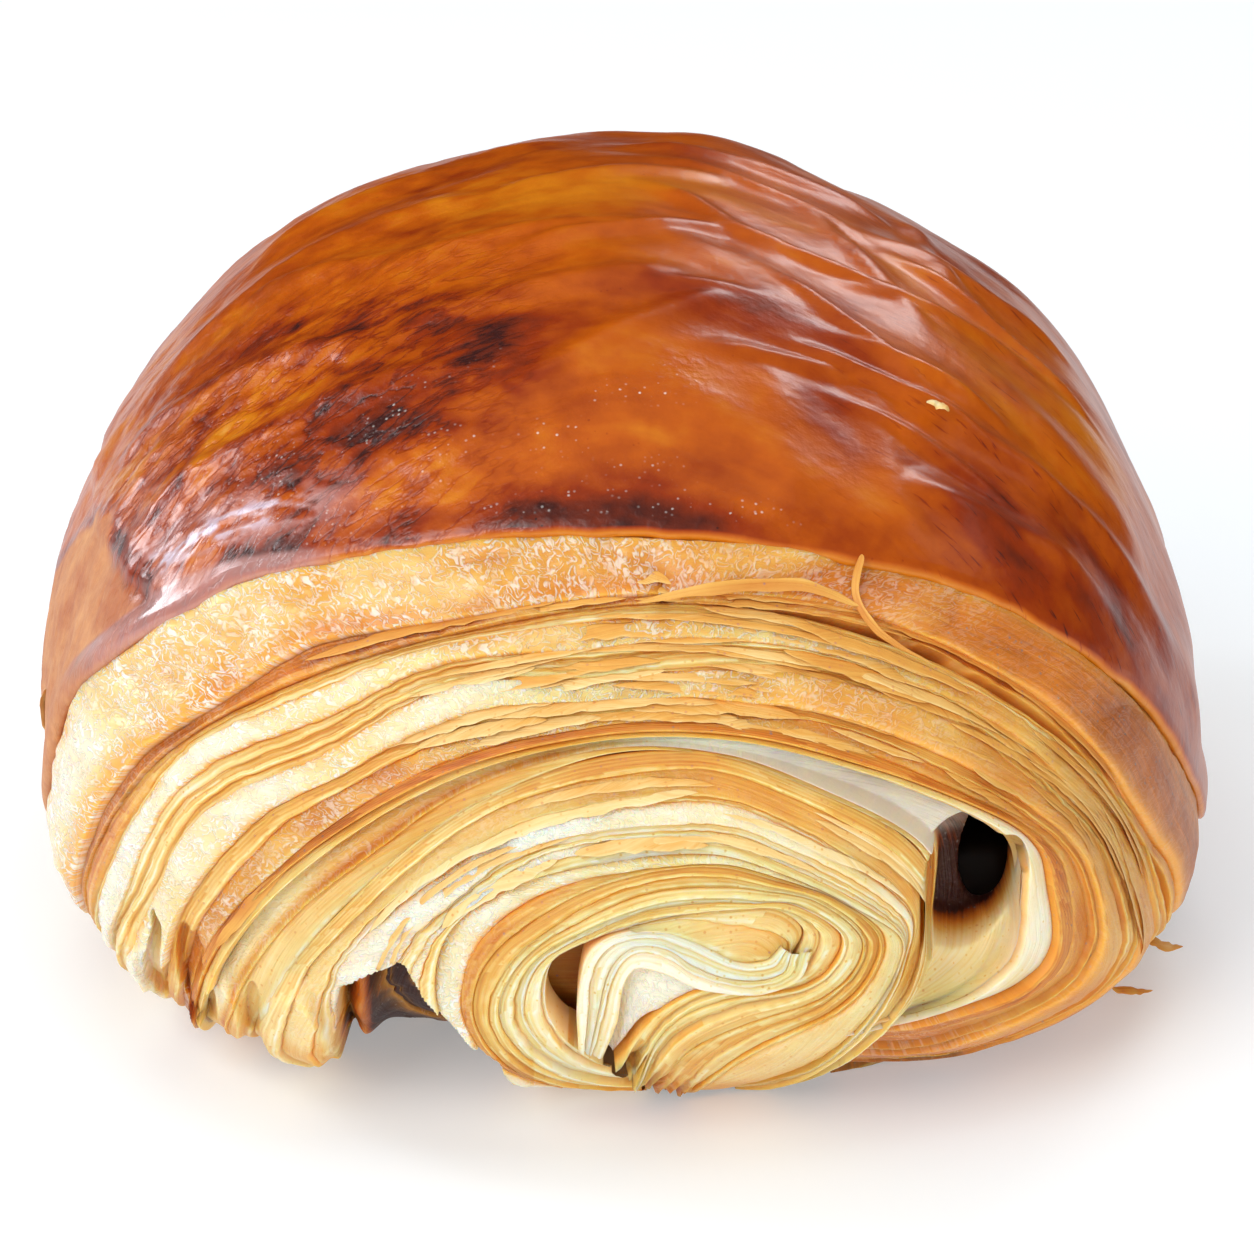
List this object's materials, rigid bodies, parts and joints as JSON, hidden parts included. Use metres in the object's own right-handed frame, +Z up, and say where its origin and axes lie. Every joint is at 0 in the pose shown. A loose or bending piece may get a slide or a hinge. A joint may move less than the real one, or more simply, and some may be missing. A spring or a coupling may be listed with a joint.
{
  "type": "pain au chocolat",
  "caption": "Baked loaf of laminated dough rolled round a chocolate baton, with a glossy crust and open layered ends.",
  "frame": {"origin": "on the table, under the middle of the loaf's box", "axes": "+Z up, Y along the roll with the shown layered end towards -Y, +X to the right of the picture"},
  "size_m": [0.0884, 0.1076, 0.0571],
  "materials": {
    "baked_dough": "baked, egg-washed",
    "dark_chocolate": "set dark chocolate"
  },
  "bodies": {
    "root": {"pastry": "baked_dough", "chocolate_baton": "dark_chocolate"}
  },
  "joints": []
}
